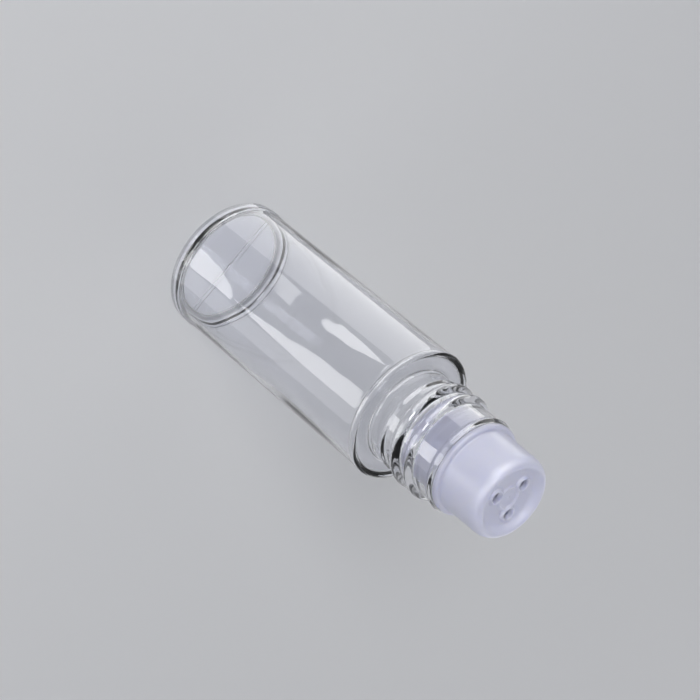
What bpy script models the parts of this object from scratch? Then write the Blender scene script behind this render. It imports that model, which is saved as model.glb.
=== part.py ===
"""A small clear sifter jar: a bottle with a threaded neck, and the sifter insert pressed into its mouth.

Metres, +Z up along the axis of the jar. The origin is the middle of the base, and the front is at -Y.
"""

import math

import bmesh
import bpy

# Driving dimensions of the bottle's body
PANEL_RADIUS = 0.01125
BODY_HEIGHT = 0.0483
BODY_WALL = 0.0009
BEAD_PROUD = 0.0002
FOOT_BEAD_HEIGHT = 0.0022
SHOULDER_BEAD_HEIGHT = 0.0009
PANEL_BLEND = 0.0007
FOOT_ROUND = 0.0006
SHOULDER_ROUND = 0.0005
SHOULDER_DIP = 0.00015
SHOULDER_WALL = 0.0011
FLOOR_ROUND = 0.0012
CEILING_ROUND = 0.0009

# Driving dimensions of the base
BASE_THICKNESS = 0.0012
FOOT_RING_WIDTH = 0.00115
PUSH_UP_DEPTH = 0.0005
PUSH_UP_BLEND = 0.0005
SEAM_WIDTH = 0.0003
SEAM_HEIGHT = 0.0002

# Driving dimensions of the neck
NECK_RADIUS = 0.00803
NECK_HEIGHT = 0.0150
NECK_WALL = 0.0012
NECK_FILLET = 0.0007
LIP_ROUND = 0.0003
LIP_BEAD_PROUD = 0.0003
LIP_BEAD_HEIGHT = 0.0015
RING_PROUD = 0.00025
RING_HEIGHT = 0.0013
RING_LIFT = 0.0023

# Driving dimensions of the neck's thread, measured from the shoulder
THREAD_LIFT = 0.00468
THREAD_PITCH = 0.003175
THREAD_DEPTH = 0.0009
THREAD_WIDTH = 0.0021
THREAD_TURNS = 1.75
THREAD_START = math.radians(-210)
RUN_IN = math.radians(20)
RUN_OUT = math.radians(30)
CREST_FULLNESS_SHARE = 0.6

# Driving dimensions of the sifter insert
SEAT_GAP = 0.0003
SKIRT_CLEARANCE = 0.0003
SKIRT_LENGTH = 0.0087
SKIRT_WALL = 0.0008
SKIRT_BEAD_PROUD = 0.0001
SKIRT_BEAD_HEIGHT = 0.0012
SKIRT_CHAMFER = 0.0003
FLANGE_RADIUS = 0.0079
FLANGE_HEIGHT = 0.0007
FLANGE_ROUND = 0.0002
CUP_RADIUS = 0.0072
CUP_DRAFT = 0.00006
CUP_HEIGHT = 0.0083
CUP_WALL = 0.0008
CUP_ROUND = 0.0016
CUP_FILLET = 0.0002
DISH_RADIUS = 0.0053
DISH_DEPTH = 0.0006
DISH_BLEND = 0.0009

# Driving dimensions of the sifter holes
HOLE_COUNT = 3
HOLE_RADIUS = 0.0009
HOLE_CIRCLE = 0.0030
HOLE_START = math.radians(51)
BOSS_RADIUS = 0.00138
BOSS_DRAFT = 0.00012
BOSS_HEIGHT = 0.0006
GATE_RING_RADIUS = 0.0019
GATE_RING_THICKNESS = 0.0005

# Fineness of the mesh, and the overrun of every cut
TURN_STEPS = 48
ARC_STEPS = 4
SWELL_STEPS = 6
THREAD_STEPS = 40
CREST_STEPS = 6
HOLE_STEPS = 24
SHARP_EDGE = math.radians(32)
WELD = 0.000001
OVERRUN = 0.0005

# Radii and heights that follow from them
RIM_RADIUS = PANEL_RADIUS + BEAD_PROUD
FOOT_RING_INNER = RIM_RADIUS - FOOT_ROUND - FOOT_RING_WIDTH
PUSH_UP_RADIUS = FOOT_RING_INNER - PUSH_UP_BLEND
FLOOR = PUSH_UP_DEPTH + BASE_THICKNESS
CEILING = BODY_HEIGHT - SHOULDER_DIP - SHOULDER_WALL
BORE = NECK_RADIUS - NECK_WALL
LIP = BODY_HEIGHT + NECK_HEIGHT


def clear_scene():
    for thing in list(bpy.data.objects):
        bpy.data.objects.remove(thing)


def collection(name):
    group = bpy.data.collections.new(name)
    bpy.context.scene.collection.children.link(group)
    return group


def plastic(name, color, roughness, transmission):
    """One moulded plastic: its colour, its gloss and how much light it passes."""
    material = bpy.data.materials.new(name)
    material.use_nodes = True
    shader = material.node_tree.nodes["Principled BSDF"]
    shader.inputs["Base Color"].default_value = (*color, 1)
    shader.inputs["Roughness"].default_value = roughness
    shader.inputs["Metallic"].default_value = 0
    shader.inputs["Transmission Weight"].default_value = transmission
    return material


def arc(centre, radius, start, end):
    """Points of an arc in the plane of the profile, from one angle in degrees to another."""
    points = []
    for step in range(ARC_STEPS + 1):
        angle = math.radians(start + (end - start) * step / ARC_STEPS)
        points.append((centre[0] + radius * math.cos(angle), centre[1] + radius * math.sin(angle)))
    return points


def swell(radius, proud, top, height):
    """A smooth bead round a wall, listed from its top down."""
    points = []
    for step in range(SWELL_STEPS + 1):
        turn = math.tau * step / SWELL_STEPS
        rise = proud * (1 - math.cos(turn)) / 2
        points.append((radius + rise, top - height * step / SWELL_STEPS))
    return points


def blend(start, end):
    """A smooth step from one point to another, level in radius at both ends."""
    points = []
    for step in range(ARC_STEPS + 1):
        share = step / ARC_STEPS
        ease = (1 - math.cos(math.pi * share)) / 2
        radius = start[0] + (end[0] - start[0]) * ease
        points.append((radius, start[1] + (end[1] - start[1]) * share))
    return points


def ramp(start, end):
    """A smooth step from one point to another, level in height at both ends."""
    sideways = blend((start[1], start[0]), (end[1], end[0]))
    return [(radius, height) for height, radius in sideways]


def turned(name, outline, material, group, height=0):
    """A solid of revolution whose outline runs down its outer side."""
    mesh = bpy.data.meshes.new(name)
    edges = [(index, index + 1) for index in range(len(outline) - 1)]
    mesh.from_pydata([(radius, 0, z) for radius, z in outline], edges, [])
    mesh.materials.append(material)
    thing = bpy.data.objects.new(name, mesh)
    thing.location = (0, 0, height)
    group.objects.link(thing)
    screw = thing.modifiers.new("turn", "SCREW")
    screw.axis = "Z"
    screw.angle = math.tau
    screw.steps = TURN_STEPS
    screw.render_steps = TURN_STEPS
    screw.use_merge_vertices = True
    screw.merge_threshold = WELD
    screw.use_smooth_shade = True
    return thing


def cutter(name, mesh, group, location=(0, 0, 0)):
    """A guide solid that is joined to a piece or cut out of it."""
    thing = bpy.data.objects.new(name, mesh)
    thing.location = location
    thing.hide_render = True
    thing.display_type = "WIRE"
    group.objects.link(thing)
    return thing


def mesh_of(name, shape):
    mesh = bpy.data.meshes.new(name)
    shape.to_mesh(mesh)
    shape.free()
    mesh.shade_smooth()
    return mesh


def boolean(thing, other, operation):
    modifier = thing.modifiers.new(other.name, "BOOLEAN")
    modifier.operation = operation
    modifier.solver = "EXACT"
    modifier.object = other


def settle(thing):
    """Applies the modifiers and shades the round faces smooth between their sharp edges."""
    bpy.context.view_layer.update()
    seen = thing.evaluated_get(bpy.context.evaluated_depsgraph_get())
    mesh = bpy.data.meshes.new_from_object(seen)
    thing.modifiers.clear()
    thing.data = mesh
    mesh.shade_smooth()
    mesh.set_sharp_from_angle(angle=SHARP_EDGE)


def bottle_outline():
    """The bottle's wall, from the middle of the floor up inside, over the lip and down outside."""
    inside = PANEL_RADIUS - BODY_WALL
    shoulder = BODY_HEIGHT - SHOULDER_DIP
    rim_inner = RIM_RADIUS - SHOULDER_ROUND
    dip_inner = rim_inner - SHOULDER_ROUND
    outer_fillet = min(NECK_FILLET, (dip_inner - NECK_RADIUS) / 2)
    inner_fillet = min(NECK_FILLET, (inside - CEILING_ROUND - BORE) / 2)
    points = [(0, FLOOR)]
    points += arc((inside - FLOOR_ROUND, FLOOR + FLOOR_ROUND), FLOOR_ROUND, -90, 0)
    points += arc((inside - CEILING_ROUND, CEILING - CEILING_ROUND), CEILING_ROUND, 0, 90)
    points += arc((BORE + inner_fillet, CEILING + inner_fillet), inner_fillet, 270, 180)
    points += arc((BORE + LIP_ROUND, LIP - LIP_ROUND), LIP_ROUND, 180, 90)
    points += arc((NECK_RADIUS - LIP_ROUND, LIP - LIP_ROUND), LIP_ROUND, 90, 0)[:-1]
    points += swell(NECK_RADIUS, LIP_BEAD_PROUD, LIP - LIP_ROUND, LIP_BEAD_HEIGHT)
    points += swell(NECK_RADIUS, RING_PROUD, BODY_HEIGHT + RING_LIFT + RING_HEIGHT, RING_HEIGHT)
    points += arc((NECK_RADIUS + outer_fillet, shoulder + outer_fillet), outer_fillet, 180, 270)
    points += ramp((dip_inner, shoulder), (rim_inner, BODY_HEIGHT))[:-1]
    points += arc((rim_inner, BODY_HEIGHT - SHOULDER_ROUND), SHOULDER_ROUND, 90, 0)
    bead_foot = BODY_HEIGHT - SHOULDER_BEAD_HEIGHT
    points += blend((RIM_RADIUS, bead_foot), (PANEL_RADIUS, bead_foot - PANEL_BLEND))
    points += blend((PANEL_RADIUS, FOOT_BEAD_HEIGHT + PANEL_BLEND), (RIM_RADIUS, FOOT_BEAD_HEIGHT))
    points += arc((RIM_RADIUS - FOOT_ROUND, FOOT_ROUND), FOOT_ROUND, 0, -90)
    points += ramp((FOOT_RING_INNER, 0), (PUSH_UP_RADIUS, PUSH_UP_DEPTH))
    points += [(0, PUSH_UP_DEPTH)]
    return points


def thread_section(angle, height, growth):
    """One section of the thread's ridge: a rounded crest over a root sunk in the neck's wall."""
    sink = NECK_WALL / 4
    section = []
    for step in range(CREST_STEPS + 1):
        across = 2 * step / CREST_STEPS - 1
        crest = THREAD_DEPTH * abs(math.cos(math.pi * across / 2)) ** CREST_FULLNESS_SHARE
        section.append((NECK_RADIUS - sink + (sink + crest) * growth, height + THREAD_WIDTH / 2 * across))
    root = NECK_RADIUS - 2 * sink
    section.append((root, height + THREAD_WIDTH / 2))
    section.append((root, height - THREAD_WIDTH / 2))
    return [(radius * math.cos(angle), radius * math.sin(angle), z) for radius, z in section]


def thread_ridge():
    """The single right-handed ridge that climbs the neck, eased in and out of its wall."""
    shape = bmesh.new()
    rings = []
    count = math.ceil(THREAD_STEPS * THREAD_TURNS)
    sweep = math.tau * THREAD_TURNS
    for step in range(count + 1):
        turn = sweep * step / count
        growth = min(1, turn / RUN_IN, (sweep - turn) / RUN_OUT)
        height = BODY_HEIGHT + THREAD_LIFT + THREAD_PITCH * turn / math.tau
        section = thread_section(THREAD_START + turn, height, math.sin(growth * math.pi / 2))
        rings.append([shape.verts.new(point) for point in section])
    for low, high in zip(rings, rings[1:]):
        for index in range(len(low)):
            after = (index + 1) % len(low)
            shape.faces.new((low[index], high[index], high[after], low[after]))
    shape.faces.new(rings[0])
    shape.faces.new(reversed(rings[-1]))
    bmesh.ops.recalc_face_normals(shape, faces=shape.faces)
    return mesh_of("thread_ridge", shape)


def base_seam():
    """The rib that the two halves of the mould leave across the hollow of the base."""
    shape = bmesh.new()
    bmesh.ops.create_cube(shape, size=1)
    bmesh.ops.scale(shape, verts=shape.verts, vec=(2 * PUSH_UP_RADIUS, SEAM_WIDTH, 2 * SEAM_HEIGHT))
    return mesh_of("base_seam", shape)


def make_bottle(group, cutters):
    clear = plastic("clear_plastic", color=(0.93, 0.94, 0.97), roughness=0.04, transmission=1)
    bottle = turned("bottle", bottle_outline(), clear, group)
    boolean(bottle, cutter("thread_ridge", thread_ridge(), cutters), "UNION")
    boolean(bottle, cutter("base_seam", base_seam(), cutters, (0, 0, PUSH_UP_DEPTH)), "UNION")
    settle(bottle)
    return bottle


def insert_outline():
    """The insert's wall from the middle of its end face, down outside and up inside, from the lip."""
    top = SEAT_GAP + FLANGE_HEIGHT + CUP_HEIGHT
    flange_top = SEAT_GAP + FLANGE_HEIGHT
    skirt_foot = SEAT_GAP - SKIRT_LENGTH
    skirt = BORE - SKIRT_CLEARANCE - SKIRT_BEAD_PROUD
    crown = CUP_RADIUS - CUP_DRAFT
    skirt_inside = skirt - SKIRT_WALL
    bead_top = (SEAT_GAP + skirt_foot + SKIRT_BEAD_HEIGHT) / 2
    points = [(0, top - DISH_DEPTH)]
    points += ramp((DISH_RADIUS - DISH_BLEND, top - DISH_DEPTH), (DISH_RADIUS, top))
    points += arc((crown - CUP_ROUND, top - CUP_ROUND), CUP_ROUND, 90, 0)
    points += arc((CUP_RADIUS + CUP_FILLET, flange_top + CUP_FILLET), CUP_FILLET, 180, 270)
    points += arc((FLANGE_RADIUS - FLANGE_ROUND, flange_top - FLANGE_ROUND), FLANGE_ROUND, 90, 0)
    points += arc((FLANGE_RADIUS - FLANGE_ROUND, SEAT_GAP + FLANGE_ROUND), FLANGE_ROUND, 0, -90)
    points += [(skirt, SEAT_GAP)]
    points += swell(skirt, SKIRT_BEAD_PROUD, bead_top, SKIRT_BEAD_HEIGHT)
    points += [(skirt, skirt_foot + SKIRT_CHAMFER), (skirt - SKIRT_CHAMFER, skirt_foot)]
    points += [(skirt_inside, skirt_foot), (skirt_inside, flange_top)]
    round_inside = CUP_ROUND - CUP_WALL
    inside = crown - CUP_WALL
    ceiling = top - DISH_DEPTH - CUP_WALL
    points += arc((inside - round_inside, ceiling - round_inside), round_inside, 0, 90)
    points += [(0, ceiling)]
    return points


def hole_places():
    """The middles of the sifter holes, evenly round the axis."""
    places = []
    for index in range(HOLE_COUNT):
        angle = HOLE_START + math.tau * index / HOLE_COUNT
        places.append((HOLE_CIRCLE * math.cos(angle), HOLE_CIRCLE * math.sin(angle)))
    return places


def cone(name, low_radius, high_radius, depth):
    shape = bmesh.new()
    bmesh.ops.create_cone(
        shape, cap_ends=True, segments=HOLE_STEPS, radius1=low_radius, radius2=high_radius, depth=depth
    )
    return mesh_of(name, shape)


def gate_ring(group, height):
    """The thin round bead in the middle of the end face."""
    bpy.ops.mesh.primitive_torus_add(
        major_segments=TURN_STEPS,
        minor_segments=2 * ARC_STEPS,
        major_radius=GATE_RING_RADIUS,
        minor_radius=GATE_RING_THICKNESS / 2,
    )
    source = bpy.context.object
    ring = cutter("gate_ring", source.data.copy(), group, (0, 0, height))
    bpy.data.objects.remove(source)
    return ring


def make_insert(group, cutters):
    soft = plastic("sifter_plastic", color=(0.80, 0.81, 0.87), roughness=0.35, transmission=0.15)
    insert = turned("sifter_insert", insert_outline(), soft, group, LIP)
    dish = LIP + SEAT_GAP + FLANGE_HEIGHT + CUP_HEIGHT - DISH_DEPTH
    boolean(insert, gate_ring(cutters, dish), "UNION")
    boss = cone("boss", BOSS_RADIUS, BOSS_RADIUS - BOSS_DRAFT, BOSS_HEIGHT + CUP_WALL / 2)
    hole = cone("hole", HOLE_RADIUS, HOLE_RADIUS, BOSS_HEIGHT + CUP_WALL + 2 * OVERRUN)
    boss_middle = dish + BOSS_HEIGHT / 2 - CUP_WALL / 4
    hole_middle = dish + (BOSS_HEIGHT - CUP_WALL) / 2
    places = hole_places()
    for index, (x, y) in enumerate(places):
        boolean(insert, cutter(f"boss_{index + 1}", boss, cutters, (x, y, boss_middle)), "UNION")
    for index, (x, y) in enumerate(places):
        boolean(insert, cutter(f"hole_{index + 1}", hole, cutters, (x, y, hole_middle)), "DIFFERENCE")
    settle(insert)
    return insert


def main():
    clear_scene()
    group = collection("sifter_jar")
    cutters = collection("cutters")
    bottle = make_bottle(group, cutters)
    insert = make_insert(group, cutters)
    jar = bpy.data.objects.new("jar_axis", None)
    group.objects.link(jar)
    for piece in (bottle, insert):
        piece.parent = jar


main()
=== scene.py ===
"""The looks of the clear sifter jar, in metres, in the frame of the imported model."""

import math

import bmesh
import bpy
import numpy as np
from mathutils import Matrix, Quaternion, Vector


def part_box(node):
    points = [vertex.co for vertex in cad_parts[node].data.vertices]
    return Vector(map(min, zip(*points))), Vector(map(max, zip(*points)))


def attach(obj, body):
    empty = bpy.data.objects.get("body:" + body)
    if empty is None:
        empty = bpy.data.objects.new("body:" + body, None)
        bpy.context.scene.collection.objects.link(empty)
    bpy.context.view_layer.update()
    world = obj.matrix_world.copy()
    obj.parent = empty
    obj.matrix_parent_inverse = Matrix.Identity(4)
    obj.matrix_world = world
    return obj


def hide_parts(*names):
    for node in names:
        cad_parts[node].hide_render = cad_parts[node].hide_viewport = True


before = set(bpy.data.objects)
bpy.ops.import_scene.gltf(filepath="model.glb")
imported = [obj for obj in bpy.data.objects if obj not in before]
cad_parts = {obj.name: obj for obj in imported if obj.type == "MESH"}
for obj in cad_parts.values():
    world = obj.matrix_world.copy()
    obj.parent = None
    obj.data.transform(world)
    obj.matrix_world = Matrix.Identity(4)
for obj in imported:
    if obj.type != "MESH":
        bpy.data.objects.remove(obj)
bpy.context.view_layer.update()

_, BOTTLE_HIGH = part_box("bottle")
INSERT_LOW, INSERT_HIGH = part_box("sifter_insert")

# Sizes of the bottle's body, from the frame and from its walls
RIM_RADIUS = BOTTLE_HIGH[0]
LIP = BOTTLE_HIGH[2]
BEAD_PROUD = 0.0002
PANEL_RADIUS = RIM_RADIUS - BEAD_PROUD
NECK_HEIGHT = 0.0150
BODY_HEIGHT = LIP - NECK_HEIGHT
BODY_WALL = 0.0007
FOOT_BEAD_HEIGHT = 0.0022
SHOULDER_BEAD_HEIGHT = 0.0007
PANEL_BLEND = 0.0004
SHOULDER_ROUND = 0.0005
SHOULDER_DIP = 0.00015
SHOULDER = BODY_HEIGHT - SHOULDER_DIP
SHOULDER_WALL = 0.0008
CEILING_ROUND = 0.0004

# Sizes of the bottle's base
FOOT_ROUND = 0.0006
FOOT_RING_WIDTH = 0.00115
FOOT_RING_INNER = RIM_RADIUS - FOOT_ROUND - FOOT_RING_WIDTH
PUSH_UP_DEPTH = 0.0005
PUSH_UP_BLEND = 0.0005
PUSH_UP_RADIUS = FOOT_RING_INNER - PUSH_UP_BLEND
BASE_THICKNESS = 0.0012
FLOOR = PUSH_UP_DEPTH + BASE_THICKNESS
FLOOR_ROUND = 0.0012
FLOOR_LEVEL_SHARE = 0.25

# Sizes of the seams that the mould leaves, and of the unevenness of the blown wall
BASE_SEAM_WIDTH = 0.00045
BASE_SEAM_HEIGHT = 0.0002
FLOOR_WELD_WIDTH = 0.0005
FLOOR_WELD_HEIGHT = 0.00008
PARTING_WIDTH = 0.00022
PARTING_HEIGHT = 0.00004
WALL_WAVE = 0.00006

# The waves of that unevenness: lobes round the axis, radians for each metre up, and the start in radians
WAVE_WIDE = (3, 160, 1)
WAVE_FADE = (-2, 90, 2)
WAVE_NARROW = (5, -230, 3)

# Sizes of the neck and its thread
NECK_RADIUS = 0.00803
NECK_WALL = 0.0012
BORE = NECK_RADIUS - NECK_WALL
NECK_FILLET = 0.0007
LIP_ROUND = 0.0001
LIP_BEAD_PROUD = 0.0003
LIP_BEAD_HEIGHT = 0.0015
RING_PROUD = 0.00025
RING_HEIGHT = 0.0013
RING_LIFT = 0.0023
THREAD_LIFT = 0.00468
THREAD_PITCH = 0.003175
THREAD_DEPTH = 0.0009
THREAD_WIDTH = 0.0023
THREAD_TURNS = 1.75
THREAD_START = math.radians(-210)
RUN_IN = math.radians(20)
RUN_OUT = math.radians(30)
CREST_FULLNESS_SHARE = 0.85

# Sizes of the sifter insert
TOP = INSERT_HIGH[2]
SEAT_GAP = 0.00003
SKIRT_CLEARANCE = 0.00008
SKIRT_WALL = 0.0010
SKIRT_BEAD_PROUD = 0.00006
SKIRT_BEAD_HEIGHT = 0.0012
SKIRT_CHAMFER = 0.0003
FLANGE_RADIUS = NECK_RADIUS
FLANGE_HEIGHT = 0.00095
FLANGE_ROUND = 0.0005
FLANGE_EDGE_ROUND = 0.00005
CUP_RADIUS = 0.0072
CUP_DRAFT = 0.00006
CUP_CROWN = CUP_RADIUS - CUP_DRAFT
CUP_WALL = 0.0008
CUP_EDGE_ACROSS = 0.0011
CUP_EDGE_DROP = 0.0020
CUP_FILLET = 0.0003

# Sizes of the insert's sunk end face, its holes and its marks
RIM_CREST = CUP_CROWN - CUP_EDGE_ACROSS
RECESS_FLOOR = 0.0047
RECESS_DEPTH = 0.0011
FACE = TOP - RECESS_DEPTH
PLATE = 0.0005
HOLE_COUNT = 3
HOLE_RADIUS = 0.0009
HOLE_CIRCLE = 0.0030
HOLE_START = math.radians(51)
HOLE_ROUND = 0.00022
BOSS_RADIUS = 0.00132
BOSS_SLOPE = 0.00042
BOSS_HEIGHT = 0.00048
ROD_LENGTH = 4 * BOSS_HEIGHT + CUP_WALL
GATE_RING_RADIUS = 0.0019
GATE_RING_WIDTH = 0.0009
GATE_RING_HEIGHT = 0.00028
GATE_NUB_RADIUS = 0.0004
GATE_NUB_HEIGHT = 0.00012

# Fineness of the meshes
ANGLE_STEP = math.radians(2)
PARTINGS = (0, math.pi)
PARTING_GRADES = (0.25, 0.5, 0.75, 1.0, 1.3, 1.65, 2.1, 2.7, 3.5)
ARC_STEPS = 9
SWELL_STEPS = 2 * ARC_STEPS
CORNER_STEPS = 3 * ARC_STEPS
HOLE_STEPS = 64
FLOOR_STEPS = 96
CARD_STEPS = 6
FINE_STEP = 0.00011
COARSE_STEP = 0.0008
SAME_POINT = 1e-9
SHARP_EDGE = math.radians(40)

# The camera of the photograph, in the frame of the part
CAMERA_AIM = Vector((-0.0019211, 0, 0.0310755))
CAMERA_AZIMUTH = math.radians(-0.322)
CAMERA_ELEVATION = math.radians(37.339)
CAMERA_ROLL = math.radians(129.593)
CAMERA_DISTANCE = 0.429524
CAMERA_LENS = 140.178
CAMERA_SENSOR = 36
CAMERA_NEAREST = 0.001

# The clear plastic: its colour, its shadow's colour, its haze and its ripple
CLEAR_TINT = (0.93, 0.935, 0.96, 1)
CLEAR_SHADOW = (0.85, 0.855, 0.87, 1)
CLEAR_IOR = 1.52
HAZE_SCALE, HAZE_DETAIL = 220, 4
HAZE_START, HAZE_END = 0.35, 0.75
HAZE_CLEAREST, HAZE_DULLEST = 0.01, 0.05
RIPPLE_SCALE, RIPPLE_DETAIL = 140, 1
RIPPLE_STRENGTH, RIPPLE_DEPTH = 0.15, 0.0002

# The milky plastic: its colours and a painted shade for the skirt inside the neck, how far light passes into
# it in each colour, its clouds and its grain
MILK_DARK = (0.69, 0.70, 0.84, 1)
MILK_LIGHT = (0.74, 0.75, 0.88, 1)
# Painted shade: a darker, greyer colour that stands in for the shade on the skirt inside the neck
MILK_PAINTED_SHADE = (0.48, 0.485, 0.59, 1)
MILK_REACH = (1.0, 1.05, 1.15)
MILK_REACH_SCALE = 0.00032
MILK_CLEARNESS = 0.2
MILK_IOR = 1.51
MILK_GLOSSIEST, MILK_DULLEST = 0.29, 0.40
CLOUD_SCALE, CLOUD_DETAIL = 160, 3
GRAIN_SCALE, GRAIN_DETAIL = 2600, 2
GRAIN_STRENGTH, GRAIN_DEPTH = 0.12, 0.00004

# The heights between which the painted shade of the skirt, inside the neck, gives way to the milk's full
# colours in the cup
PAINTED_SHADE_UP_TO = LIP - FLANGE_HEIGHT
PAINTED_SHADE_GONE_FROM = LIP + 2 * FLANGE_HEIGHT

# The floor, and how far from the jar it passes into the colour of the room
FLOOR_TINT = (0.68, 0.685, 0.70, 1)
FLOOR_ROUGHNESS = 0.9
FLOOR_SHEEN = 0.1
FLOOR_RADIUS = 4
FLOOR_FADE_START = 0.20
FLOOR_FADE_END = 0.55

# The room, in linear colours, and how far up the higher one is reached, as a share of straight up
ROOM_LOW = (0.52, 0.525, 0.54, 1)
ROOM_HIGH = (0.26, 0.265, 0.28, 1)
ROOM_RISE_SHARE = 0.8

# Where the lamps stand
JAR_MIDDLE = Vector((0, 0, 0.03))
SOFTBOX_DISTANCE = 0.6
GLINT_DISTANCE = 0.45

# The lamps that light the jar: bearing from the front and height in degrees, size in metres, and radiance
SOFTBOXES = [
    ("key_left", -62, 12, (0.66, 0.30), 1.0),
    ("key_right", 50, 12, (0.44, 0.30), 1.0),
    ("front", -8, 42, (0.16, 0.16), 17.0),
    ("top", 160, 66, (0.6, 0.6), 0.5),
]
BACK_SOFTBOX = ("back", 176, 6, (0.6, 0.3), 1.7)

# The lamps that show in the gloss alone, given in the same way
PANELS = [
    ("glint_left", -40, 17, (0.50, 0.54), 3.2),
    ("glint_right", 23, 20, (0.32, 0.32), 3.2),
    ("upper_left", -40, 0, (0.50, 0.50), 3.5),
    ("upper_right", 30, 2, (0.20, 0.50), 3.5),
    ("side_left", -88, -20, (0.55, 0.62), 2.0),
    ("side_right", 62, -20, (0.20, 0.62), 1.3),
]

# Where the body's wall mirrors the cards: heights in metres, and turns in degrees from the front
STRIP_LEFT = [(0.0318, -14), (0.0334, -9.5), (0.0400, -12.5), (0.0469, -18), (0.0420, -20.5), (0.0340, -21.3)]
PATCH_LEFT = [(0.0192, -22), (0.0203, -7), (0.0251, -6), (0.0256, -21)]
STRIP_RIGHT = [
    (0.0157, 18.6), (0.0230, 16.2), (0.0296, 14.3), (0.0340, 10.4), (0.0416, 9.4), (0.0455, 8.6),
    (0.0472, 11.5), (0.0478, 23.8), (0.0353, 24.0), (0.0264, 22.6), (0.0197, 21.2),
]
WEDGE_RIGHT = [
    (0.0006, 2.4), (0.0021, 2.4), (0.0058, 4.7), (0.0092, 6.9), (0.0121, 9.6), (0.0144, 13.1),
    (0.0154, 17.9), (0.0149, 21.1), (0.0088, 21.1), (0.0005, 22.5),
]

# Where a wall as wide as the body's, drawn on up past the insert, mirrors the cards for the cup
CUP_LEFT = [(0.0520, -58), (0.1500, -58), (0.1500, -27), (0.0520, -27)]
CUP_RIGHT = [(0.0520, 10), (0.1500, 10), (0.1500, 26), (0.0520, 26)]

# The cards and their radiance
CARDS = [
    ("strip_left", STRIP_LEFT, 6.5),
    ("patch_left", PATCH_LEFT, 4.0),
    ("strip_right", STRIP_RIGHT, 6.0),
    ("wedge_right", WEDGE_RIGHT, 6.5),
    ("cup_left", CUP_LEFT, 4.0),
    ("cup_right", CUP_RIGHT, 8.0),
]


def angles():
    """Angles round the axis, closer together beside the two parting lines of the mould."""
    found = set()
    for parting in PARTINGS:
        found.add(parting)
        for grade in PARTING_GRADES:
            found.add((parting + math.radians(grade)) % math.tau)
            found.add((parting - math.radians(grade)) % math.tau)
    clear = math.radians(PARTING_GRADES[-1]) + ANGLE_STEP / 2
    for index in range(round(math.tau / ANGLE_STEP)):
        angle = index * ANGLE_STEP
        if all(abs((angle - parting + math.pi) % math.tau - math.pi) > clear for parting in PARTINGS):
            found.add(angle)
    return np.array(sorted(found))


def arc(centre, radius, start, end):
    """Points of an arc in the plane of the profile, from one angle in degrees to another."""
    turn = np.radians(np.linspace(start, end, ARC_STEPS + 1))
    return [(centre[0] + radius * math.cos(a), centre[1] + radius * math.sin(a)) for a in turn]


def swell(radius, proud, low, height):
    """A smooth bead round a wall, listed from its foot up."""
    share = np.linspace(0, 1, SWELL_STEPS + 1)
    return [(radius + proud * (1 - math.cos(math.tau * s)) / 2, low + height * s) for s in share]


def blend(start, end):
    """A smooth step from one point to another, level in radius at both ends."""
    points = []
    for share in np.linspace(0, 1, ARC_STEPS + 1):
        ease = (1 - math.cos(math.pi * share)) / 2
        points.append((start[0] + (end[0] - start[0]) * ease, start[1] + (end[1] - start[1]) * share))
    return points


def ramp(start, end):
    """A smooth step from one point to another, level in height at both ends."""
    return [(r, z) for z, r in blend((start[1], start[0]), (end[1], end[0]))]


def divided(points, step):
    """The outline with its long stretches cut into steps no longer than the one given."""
    result = [points[0]]
    for start, end in zip(points, points[1:]):
        length = math.dist(start, end)
        if length < SAME_POINT:
            continue
        count = max(1, math.ceil(length / step))
        for index in range(1, count + 1):
            share = index / count
            radius = start[0] + (end[0] - start[0]) * share
            result.append((radius, start[1] + (end[1] - start[1]) * share))
    return result


def outer_body():
    """The outside of the bottle from the middle of its base up to the neck's root."""
    rim_inner = RIM_RADIUS - SHOULDER_ROUND
    bead_foot = BODY_HEIGHT - SHOULDER_BEAD_HEIGHT
    steps = math.floor(PUSH_UP_RADIUS / COARSE_STEP)
    points = [(PUSH_UP_RADIUS - COARSE_STEP * index, PUSH_UP_DEPTH) for index in range(steps, 0, -1)]
    points += ramp((PUSH_UP_RADIUS, PUSH_UP_DEPTH), (FOOT_RING_INNER, 0))
    points += arc((RIM_RADIUS - FOOT_ROUND, FOOT_ROUND), FOOT_ROUND, -90, 0)
    points += blend((RIM_RADIUS, FOOT_BEAD_HEIGHT), (PANEL_RADIUS, FOOT_BEAD_HEIGHT + PANEL_BLEND))
    points += blend((PANEL_RADIUS, bead_foot - PANEL_BLEND), (RIM_RADIUS, bead_foot))
    points += arc((rim_inner, BODY_HEIGHT - SHOULDER_ROUND), SHOULDER_ROUND, 0, 90)
    points += ramp((rim_inner, BODY_HEIGHT), (rim_inner - SHOULDER_ROUND, SHOULDER))
    points += arc((NECK_RADIUS + NECK_FILLET, SHOULDER + NECK_FILLET), NECK_FILLET, 270, 180)
    return divided(points, COARSE_STEP)


def outer_neck():
    """The outside of the neck from its root up to the lip."""
    points = [(NECK_RADIUS, SHOULDER + NECK_FILLET)]
    points += swell(NECK_RADIUS, RING_PROUD, BODY_HEIGHT + RING_LIFT, RING_HEIGHT)
    points += swell(NECK_RADIUS, LIP_BEAD_PROUD, LIP - LIP_ROUND - LIP_BEAD_HEIGHT, LIP_BEAD_HEIGHT)
    return divided(points, FINE_STEP)


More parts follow.
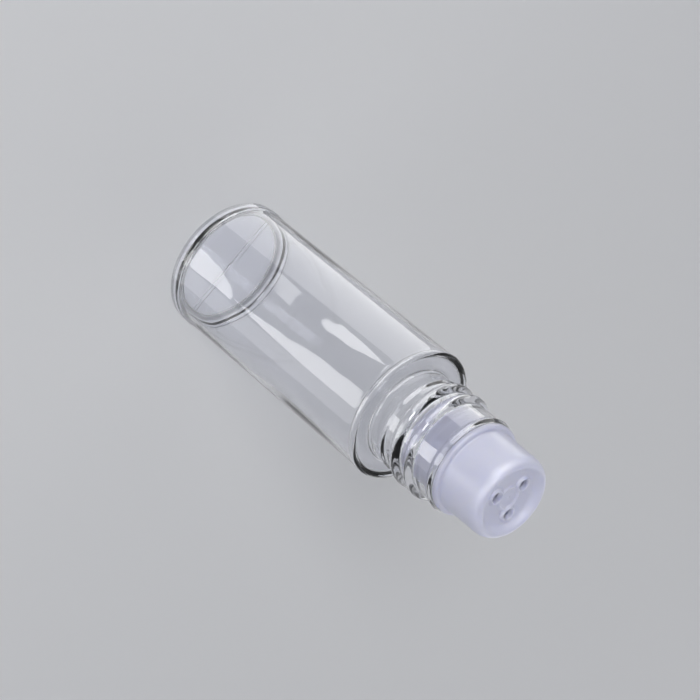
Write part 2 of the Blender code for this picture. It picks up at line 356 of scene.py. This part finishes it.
def inner_wall():
    """The inside of the bottle from the lip down to the middle of the floor."""
    inside = PANEL_RADIUS - BODY_WALL
    ceiling = SHOULDER - SHOULDER_WALL
    points = arc((NECK_RADIUS - LIP_ROUND, LIP - LIP_ROUND), LIP_ROUND, 0, 90)
    points += arc((BORE + LIP_ROUND, LIP - LIP_ROUND), LIP_ROUND, 90, 180)
    points += arc((BORE + NECK_FILLET, ceiling + NECK_FILLET), NECK_FILLET, 180, 270)
    points += arc((inside - CEILING_ROUND, ceiling - CEILING_ROUND), CEILING_ROUND, 90, 0)
    points += arc((inside - FLOOR_ROUND, FLOOR + FLOOR_ROUND), FLOOR_ROUND, 0, -90)
    points += [(COARSE_STEP, FLOOR)]
    return divided(points, COARSE_STEP)


def thread_rise(turn, height):
    """How far the thread's ridge stands off the neck's wall, for arrays of angles and heights."""
    rise = np.zeros(np.broadcast(turn, height).shape)
    sweep = math.tau * THREAD_TURNS
    for lap in range(math.ceil(THREAD_TURNS) + 1):
        along = (turn - THREAD_START) % math.tau + math.tau * lap
        centre = BODY_HEIGHT + THREAD_LIFT + THREAD_PITCH * along / math.tau
        growth = np.clip(np.minimum(along / RUN_IN, (sweep - along) / RUN_OUT), 0, 1)
        across = np.clip(np.abs(height - centre) / (THREAD_WIDTH / 2), 0, 1)
        crest = np.cos(math.pi / 2 * across) ** CREST_FULLNESS_SHARE
        rise = np.maximum(rise, THREAD_DEPTH * crest * np.sin(math.pi / 2 * growth))
    return rise


def bump(offset, width):
    """A rounded ridge of unit height, as wide at its foot as the width given."""
    share = np.clip(np.abs(offset) / (width / 2), 0, 1)
    return (1 + np.cos(math.pi * share)) / 2


def seam_rise(turn, radius, height, width):
    """A rounded ridge along X, for arrays of angles and radii."""
    return height * bump(np.sin(turn) * radius, width)


def wall_wave(turn, height):
    """The slow unevenness of a blown wall, between -1 and 1."""
    waves = (WAVE_WIDE, WAVE_FADE, WAVE_NARROW)
    wide, fade, narrow = (lobes * turn + climb * height + start for lobes, climb, start in waves)
    return (2 * (np.sin(wide) * np.cos(fade)) + np.sin(narrow)) / 3


def placed(name, data):
    """A new object in the scene that holds the mesh, lamp or camera given."""
    thing = bpy.data.objects.new(name, data)
    bpy.context.scene.collection.objects.link(thing)
    return thing


def mesh_of(name, shape):
    """The mesh of an edited shape, which is let go of."""
    mesh = bpy.data.meshes.new(name)
    shape.to_mesh(mesh)
    shape.free()
    return mesh


def mesh_piece(name, rings, middles, material):
    """A closed round skin of one ring of points for each row, with a middle point at each end."""
    rows, count, _ = rings.shape
    points = [tuple(p) for p in rings.reshape(-1, 3)]
    first = len(points)
    last_row = (rows - 1) * count
    faces = []
    for low in range(0, last_row, count):
        high = low + count
        for index in range(count):
            after = (index + 1) % count
            faces.append((low + index, low + after, high + after, high + index))
    for index in range(count):
        after = (index + 1) % count
        faces.append((first, after, index))
        faces.append((first + 1, last_row + index, last_row + after))
    mesh = bpy.data.meshes.new(name)
    mesh.from_pydata(points + middles, [], faces)
    mesh.materials.append(material)
    mesh.shade_smooth()
    return placed(name, mesh)


def ringed(rows, turn, rise_of):
    """Rings of points for rows of radius and height, raised off the surface by the function given."""
    profile = np.array(rows)
    along = np.gradient(profile, axis=0)
    along /= np.linalg.norm(along, axis=1)[:, None]
    radius, height = profile[:, :1], profile[:, 1:]
    rise = rise_of(turn, radius, height)
    moved = radius + rise * along[:, 1:]
    raised = height - rise * along[:, :1]
    return np.stack([moved * np.cos(turn), moved * np.sin(turn), raised], axis=-1)


def body_rise(turn, radius, height):
    """What stands off the body's outside: the seam across the base, and the parting lines up the wall."""
    on_base = (radius <= PUSH_UP_RADIUS) & (height < FOOT_ROUND)
    seam = seam_rise(turn, radius, BASE_SEAM_HEIGHT, BASE_SEAM_WIDTH)
    on_wall = np.clip((radius - RIM_RADIUS + SHOULDER_ROUND) / (SHOULDER_ROUND - BEAD_PROUD), 0, 1)
    parting = seam_rise(turn, radius, PARTING_HEIGHT, PARTING_WIDTH)
    return np.where(on_base, seam, parting * on_wall * (height > 0))


def neck_rise(turn, radius, height):
    """What stands off the neck's outside: the thread and the parting lines."""
    return np.maximum(thread_rise(turn, height), seam_rise(turn, radius, PARTING_HEIGHT, PARTING_WIDTH))


def wall_rise(turn, radius, height):
    """What stands off the bottle's inside: the weld across the floor, and the wall's unevenness."""
    on_wall = np.clip((radius - BORE - NECK_FILLET) / NECK_FILLET, 0, 1) * (height < BODY_HEIGHT)
    on_wall = on_wall * np.clip((height - FLOOR) / FLOOR_ROUND, 0, 1)
    on_floor = height < FLOOR + FLOOR_ROUND * FLOOR_LEVEL_SHARE
    on_floor = on_floor * np.clip((radius - COARSE_STEP) / COARSE_STEP, 0, 1)
    weld = seam_rise(turn, radius, FLOOR_WELD_HEIGHT, FLOOR_WELD_WIDTH) * on_floor
    return weld + WALL_WAVE * wall_wave(turn, height) * on_wall


def bottle(material):
    """The clear bottle, as one skin from the middle of its base over the lip to its floor."""
    turn = angles()[None, :]
    outside = ringed(outer_body(), turn, body_rise)
    neck = ringed(outer_neck()[1:], turn, neck_rise)
    inside = ringed(inner_wall()[1:], turn, wall_rise)
    rings = np.concatenate([outside, neck, inside])
    middles = [(0, 0, PUSH_UP_DEPTH - BASE_SEAM_HEIGHT), (0, 0, FLOOR)]
    return mesh_piece("clear_bottle", rings, middles, material)


def hole_places():
    """The middles of the sifter holes, evenly round the axis."""
    places = []
    for index in range(HOLE_COUNT):
        angle = HOLE_START + math.tau * index / HOLE_COUNT
        places.append((HOLE_CIRCLE * math.cos(angle), HOLE_CIRCLE * math.sin(angle)))
    return places


def face_rise(x, y):
    """The raised marks of the end face: a boss round each hole, the gate's ring and its nub."""
    distance = np.hypot(x, y)
    ring = GATE_RING_HEIGHT * bump(distance - GATE_RING_RADIUS, GATE_RING_WIDTH)
    nub = GATE_NUB_HEIGHT * bump(distance, 2 * GATE_NUB_RADIUS)
    rise = ring + nub
    for place in hole_places():
        reach = np.hypot(x - place[0], y - place[1])
        outside = np.clip((BOSS_RADIUS + BOSS_SLOPE / 2 - reach) / BOSS_SLOPE, 0, 1)
        boss = BOSS_HEIGHT * (1 - np.cos(math.pi * outside)) / 2
        inside = np.clip((HOLE_RADIUS + HOLE_ROUND - reach) / HOLE_ROUND, 0, 1)
        edge = HOLE_ROUND * (1 - np.sqrt(1 - inside**2))
        rise = np.maximum(rise, boss) - edge
    return rise


def recess(radius):
    """How far the end face is sunk at a radius: a level floor with a smooth step up to the rim's crest."""
    share = min(max((radius - RECESS_FLOOR) / (RIM_CREST - RECESS_FLOOR), 0), 1)
    return RECESS_DEPTH * (1 + math.cos(math.pi * share)) / 2


def corner(centre, across, drop):
    """A quarter of an ellipse from its crest down to its outer side."""
    turn = np.radians(np.linspace(90, 0, CORNER_STEPS + 1))
    return [(centre[0] + across * math.cos(a), centre[1] + drop * math.sin(a)) for a in turn]


def insert_rows():
    """The insert's skin from the middle of its end face down outside and up inside."""
    seat = LIP + SEAT_GAP
    flange_top = seat + FLANGE_HEIGHT
    foot = INSERT_LOW[2]
    skirt = BORE - SKIRT_CLEARANCE
    bead_low = (seat + foot - SKIRT_BEAD_HEIGHT) / 2
    inside = CUP_CROWN - CUP_WALL
    ceiling = FACE - PLATE
    count = math.floor(RIM_CREST / FINE_STEP)
    radii = [RIM_CREST * index / count for index in range(1, count)]
    face = [(radius, TOP - recess(radius)) for radius in radii]
    points = corner((RIM_CREST, TOP - CUP_EDGE_DROP), CUP_EDGE_ACROSS, CUP_EDGE_DROP)
    points += arc((CUP_RADIUS + CUP_FILLET, flange_top + CUP_FILLET), CUP_FILLET, 180, 270)
    points += arc((FLANGE_RADIUS - FLANGE_ROUND, flange_top - FLANGE_ROUND), FLANGE_ROUND, 90, 0)
    points += arc((FLANGE_RADIUS - FLANGE_EDGE_ROUND, seat + FLANGE_EDGE_ROUND), FLANGE_EDGE_ROUND, 0, -90)
    points += [(skirt, seat)]
    points += swell(skirt, SKIRT_BEAD_PROUD, bead_low, SKIRT_BEAD_HEIGHT)[::-1]
    points += [(skirt, foot + SKIRT_CHAMFER), (skirt - SKIRT_CHAMFER, foot)]
    points += [(skirt - SKIRT_WALL, foot), (skirt - SKIRT_WALL, flange_top)]
    points += arc((inside - CUP_EDGE_ACROSS, ceiling - CUP_EDGE_ACROSS), CUP_EDGE_ACROSS, 0, 90)
    points += [(COARSE_STEP, ceiling)]
    return face + divided(points, COARSE_STEP)


def marks_rise(turn, radius, height):
    """What stands off the insert: the marks of its end face, and nothing elsewhere."""
    on_face = (height > FACE - PLATE / 2) & (radius < RIM_CREST)
    return np.where(on_face, face_rise(radius * np.cos(turn), radius * np.sin(turn)), 0)


def hole_cutter():
    """One solid of three short rods that the holes are cut with."""
    shape = bmesh.new()
    sizes = {"segments": HOLE_STEPS, "radius1": HOLE_RADIUS, "radius2": HOLE_RADIUS, "depth": ROD_LENGTH}
    for place in hole_places():
        rod = bmesh.ops.create_cone(shape, cap_ends=True, **sizes)
        bmesh.ops.translate(shape, verts=rod["verts"], vec=(*place, FACE))
    mesh = mesh_of("holes", shape)
    mesh.shade_smooth()
    return placed("holes", mesh)


def sifter(material):
    """The milky insert, with its three holes cut through the end face."""
    turn = angles()[None, :]
    rings = ringed(insert_rows()[::-1], turn, marks_rise)[::-1, ::-1]
    middles = [(0, 0, FACE + GATE_NUB_HEIGHT), (0, 0, FACE - PLATE)]
    piece = mesh_piece("milky_sifter", rings, middles, material)
    holes = hole_cutter()
    cut = piece.modifiers.new("holes", "BOOLEAN")
    cut.operation = "DIFFERENCE"
    cut.solver = "EXACT"
    cut.object = holes
    bpy.context.view_layer.update()
    seen = piece.evaluated_get(bpy.context.evaluated_depsgraph_get())
    mesh = bpy.data.meshes.new_from_object(seen)
    piece.modifiers.clear()
    piece.data = mesh
    bpy.data.objects.remove(holes)
    mesh.shade_smooth()
    mesh.set_sharp_from_angle(angle=SHARP_EDGE)
    return piece


def new_material(name):
    """A new material, with its nodes, its links and its main shader."""
    material = bpy.data.materials.new(name)
    material.use_nodes = True
    tree = material.node_tree
    return material, tree.nodes, tree.links, tree.nodes["Principled BSDF"]


def fill(node, values):
    """Sets the inputs of a node by their names."""
    for name, value in values.items():
        node.inputs[name].default_value = value


def noise(nodes, links, place, scale, detail):
    """Noise of the scale and detail given, fixed to the object."""
    clouds = nodes.new("ShaderNodeTexNoise")
    fill(clouds, {"Scale": scale, "Detail": detail})
    links.new(place.outputs["Object"], clouds.inputs["Vector"])
    return clouds


def graded(nodes, links, source, ends):
    """A socket's value carried from one range to another, with the ends of the ranges by their names."""
    grade = nodes.new("ShaderNodeMapRange")
    fill(grade, ends)
    links.new(source, grade.inputs["Value"])
    return grade


def emboss(nodes, links, relief, shader, strength, depth):
    """Gives a shader the fine relief of the noise given."""
    bumps = nodes.new("ShaderNodeBump")
    fill(bumps, {"Strength": strength, "Distance": depth})
    links.new(relief.outputs["Fac"], bumps.inputs["Height"])
    links.new(bumps.outputs["Normal"], shader.inputs["Normal"])


def clear_plastic():
    """Clear moulded plastic: glossy, with the faint haze and ripple of a blown wall."""
    material, nodes, links, shader = new_material("clear_plastic_look")
    fill(shader, {"Base Color": CLEAR_TINT, "Transmission Weight": 1, "IOR": CLEAR_IOR})
    place = nodes.new("ShaderNodeTexCoord")
    haze = noise(nodes, links, place, HAZE_SCALE, HAZE_DETAIL)
    ends = {"From Min": HAZE_START, "From Max": HAZE_END, "To Min": HAZE_CLEAREST, "To Max": HAZE_DULLEST}
    gloss = graded(nodes, links, haze.outputs["Fac"], ends)
    links.new(gloss.outputs["Result"], shader.inputs["Roughness"])
    ripple = noise(nodes, links, place, RIPPLE_SCALE, RIPPLE_DETAIL)
    emboss(nodes, links, ripple, shader, RIPPLE_STRENGTH, RIPPLE_DEPTH)
    rays = nodes.new("ShaderNodeLightPath")
    clear = nodes.new("ShaderNodeBsdfTransparent")
    clear.inputs["Color"].default_value = CLEAR_SHADOW
    mix = nodes.new("ShaderNodeMixShader")
    links.new(rays.outputs["Is Shadow Ray"], mix.inputs["Fac"])
    links.new(shader.outputs["BSDF"], mix.inputs[1])
    links.new(clear.outputs["BSDF"], mix.inputs[2])
    links.new(mix.outputs["Shader"], nodes["Material Output"].inputs["Surface"])
    return material


def milky_plastic():
    """Soft translucent plastic: a satin skin over a milky body, with a painted shade that colours the skirt
    inside the neck darker and greyer.
    """
    material, nodes, links, shader = new_material("sifter_plastic_look")
    fill(shader, {"Subsurface Weight": 1, "Transmission Weight": MILK_CLEARNESS, "IOR": MILK_IOR})
    fill(shader, {"Subsurface Radius": MILK_REACH, "Subsurface Scale": MILK_REACH_SCALE})
    place = nodes.new("ShaderNodeTexCoord")
    clouds = noise(nodes, links, place, CLOUD_SCALE, CLOUD_DETAIL)
    tint = nodes.new("ShaderNodeMix")
    tint.data_type = "RGBA"
    fill(tint, {"A": MILK_DARK, "B": MILK_LIGHT})
    links.new(clouds.outputs["Fac"], tint.inputs["Factor"])
    # Painted shade: from a little above the lip down into the skirt, the colour is blended toward a darker,
    # greyer one that stands in for the shade inside the neck
    height = nodes.new("ShaderNodeSeparateXYZ")
    links.new(place.outputs["Object"], height.inputs["Vector"])
    ends = {"From Min": PAINTED_SHADE_UP_TO, "From Max": PAINTED_SHADE_GONE_FROM}
    unshaded_share = graded(nodes, links, height.outputs["Z"], ends)
    unshaded_share.interpolation_type = "SMOOTHSTEP"
    body = nodes.new("ShaderNodeMix")
    body.data_type = "RGBA"
    body.inputs["A"].default_value = MILK_PAINTED_SHADE
    links.new(unshaded_share.outputs["Result"], body.inputs["Factor"])
    links.new(tint.outputs["Result"], body.inputs["B"])
    links.new(body.outputs["Result"], shader.inputs["Base Color"])
    gloss = graded(nodes, links, clouds.outputs["Fac"], {"To Min": MILK_GLOSSIEST, "To Max": MILK_DULLEST})
    links.new(gloss.outputs["Result"], shader.inputs["Roughness"])
    grain = noise(nodes, links, place, GRAIN_SCALE, GRAIN_DETAIL)
    emboss(nodes, links, grain, shader, GRAIN_STRENGTH, GRAIN_DEPTH)
    return material


def floor_look():
    """A pale matt floor, which the camera and the plastic see in the room's colour far off."""
    material, nodes, links, shader = new_material("pale_floor")
    fill(shader, {"Base Color": FLOOR_TINT, "Roughness": FLOOR_ROUGHNESS, "Specular IOR Level": FLOOR_SHEEN})
    place = nodes.new("ShaderNodeTexCoord")
    distance = nodes.new("ShaderNodeVectorMath")
    distance.operation = "LENGTH"
    links.new(place.outputs["Object"], distance.inputs[0])
    ends = {"From Min": FLOOR_FADE_START, "From Max": FLOOR_FADE_END}
    fade = graded(nodes, links, distance.outputs["Value"], ends)
    fade.interpolation_type = "SMOOTHSTEP"
    rays = nodes.new("ShaderNodeLightPath")
    seen = nodes.new("ShaderNodeMath")
    seen.operation = "MAXIMUM"
    links.new(rays.outputs["Is Camera Ray"], seen.inputs[0])
    links.new(rays.outputs["Is Transmission Ray"], seen.inputs[1])
    share = nodes.new("ShaderNodeMath")
    share.operation = "MULTIPLY"
    links.new(seen.outputs["Value"], share.inputs[0])
    links.new(fade.outputs["Result"], share.inputs[1])
    glow = nodes.new("ShaderNodeEmission")
    glow.inputs["Color"].default_value = ROOM_LOW
    mix = nodes.new("ShaderNodeMixShader")
    links.new(share.outputs["Value"], mix.inputs["Fac"])
    links.new(shader.outputs["BSDF"], mix.inputs[1])
    links.new(glow.outputs["Emission"], mix.inputs[2])
    links.new(mix.outputs["Shader"], nodes["Material Output"].inputs["Surface"])
    return material


def plain_floor():
    """A wide pale floor at the jar's foot."""
    shape = bmesh.new()
    bmesh.ops.create_circle(shape, cap_ends=True, segments=FLOOR_STEPS, radius=FLOOR_RADIUS)
    mesh = mesh_of("floor", shape)
    mesh.materials.append(floor_look())
    floor = placed("floor", mesh)
    floor.visible_glossy = False


def round_the_jar(azimuth, elevation, distance):
    """A point at a bearing from the front and a height above the horizon, as seen from the jar."""
    turn, lift = math.radians(azimuth), math.radians(elevation)
    flat = distance * math.cos(lift)
    return Vector((flat * math.sin(turn), -flat * math.cos(turn), distance * math.sin(lift))) + JAR_MIDDLE


def lamp(name, place, size, radiance):
    """A flat lamp that faces the jar, as bright as the radiance given."""
    light = bpy.data.lights.new(name, "AREA")
    light.shape = "RECTANGLE"
    light.size, light.size_y = size
    light.energy = radiance * math.pi * size[0] * size[1]
    holder = placed(name, light)
    holder.location = place
    holder.rotation_mode = "QUATERNION"
    holder.rotation_quaternion = (place - JAR_MIDDLE).to_track_quat("Z", "Y")
    return holder


def softbox(name, azimuth, elevation, size, radiance):
    """A lamp that lights the jar from the bearing given."""
    return lamp(name, round_the_jar(azimuth, elevation, SOFTBOX_DISTANCE), size, radiance)


def gloss_only(thing):
    """Hides a lamp or card from everything but gloss."""
    thing.visible_camera = False
    thing.visible_diffuse = False
    thing.visible_transmission = False
    thing.visible_shadow = False


def panel(name, azimuth, elevation, size, radiance):
    """A wide lamp that shows in the gloss alone."""
    gloss_only(lamp(name, round_the_jar(azimuth, elevation, GLINT_DISTANCE), size, radiance))


def mirrored(height, turn):
    """Where the camera's sight ends up that the body's wall throws back at the place given."""
    outward = Vector((math.sin(math.radians(turn)), -math.cos(math.radians(turn)), 0))
    place = outward * PANEL_RADIUS + Vector((0, 0, height))
    ray = (place - camera_place()).normalized().reflect(outward)
    return place + ray * GLINT_DISTANCE


def card(name, outline, radiance):
    """A bright card that the wall mirrors to the camera in the outline given, as heights and turns."""
    points = []
    for start, end in zip(outline, outline[1:] + outline[:1]):
        for step in range(CARD_STEPS):
            share = step / CARD_STEPS
            points.append(mirrored(*(a + (b - a) * share for a, b in zip(start, end))))
    middle = mirrored(*(sum(values) / len(outline) for values in zip(*outline)))
    faces = [(index, (index + 1) % len(points), len(points)) for index in range(len(points))]
    mesh = bpy.data.meshes.new(name)
    mesh.from_pydata([tuple(point) for point in points + [middle]], [], faces)
    material, nodes, links, shader = new_material(name)
    nodes.remove(shader)
    glow = nodes.new("ShaderNodeEmission")
    glow.inputs["Strength"].default_value = radiance
    links.new(glow.outputs["Emission"], nodes["Material Output"].inputs["Surface"])
    mesh.materials.append(material)
    thing = placed(name, mesh)
    gloss_only(thing)


def room():
    """A pale room, darker overhead than at the horizon."""
    world = bpy.data.worlds.new("room")
    bpy.context.scene.world = world
    world.use_nodes = True
    nodes, links = world.node_tree.nodes, world.node_tree.links
    place = nodes.new("ShaderNodeTexCoord")
    split = nodes.new("ShaderNodeSeparateXYZ")
    links.new(place.outputs["Generated"], split.inputs["Vector"])
    rise = graded(nodes, links, split.outputs["Z"], {"From Min": 0, "From Max": ROOM_RISE_SHARE})
    rise.interpolation_type = "SMOOTHSTEP"
    shade = nodes.new("ShaderNodeMix")
    shade.data_type = "RGBA"
    fill(shade, {"A": ROOM_LOW, "B": ROOM_HIGH})
    links.new(rise.outputs["Result"], shade.inputs["Factor"])
    links.new(shade.outputs["Result"], nodes["Background"].inputs["Color"])


def studio():
    """Plain soft lamps, cards and narrow lamps for the gloss, and a pale room."""
    for values in SOFTBOXES:
        softbox(*values)
    back = softbox(*BACK_SOFTBOX)
    back.visible_camera = False
    back.visible_transmission = False
    for values in CARDS:
        card(*values)
    for values in PANELS:
        panel(*values)
    room()


def camera_back():
    """The direction from what the camera looks at back to the camera."""
    flat = math.cos(CAMERA_ELEVATION)
    side = math.sin(CAMERA_AZIMUTH)
    return Vector((-side * flat, -math.cos(CAMERA_AZIMUTH) * flat, math.sin(CAMERA_ELEVATION)))


def camera_place():
    """Where the photograph was taken from."""
    return CAMERA_AIM + camera_back() * CAMERA_DISTANCE


def camera():
    """The photograph's camera: above the front of the jar, turned about its line of sight."""
    sight = bpy.data.cameras.new("camera")
    sight.lens = CAMERA_LENS
    sight.sensor_width = CAMERA_SENSOR
    sight.clip_start = CAMERA_NEAREST
    eye = placed("camera", sight)
    eye.location = camera_place()
    eye.rotation_mode = "QUATERNION"
    eye.rotation_quaternion = camera_back().to_track_quat("Z", "Y") @ Quaternion((0, 0, 1), CAMERA_ROLL)
    bpy.context.scene.camera = eye


bpy.context.scene.view_settings.view_transform = "Standard"
camera()
studio()
plain_floor()
jar_skin = bottle(clear_plastic())
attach(jar_skin, "jar")
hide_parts("bottle")
insert_skin = sifter(milky_plastic())
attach(insert_skin, "insert")
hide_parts("sifter_insert")
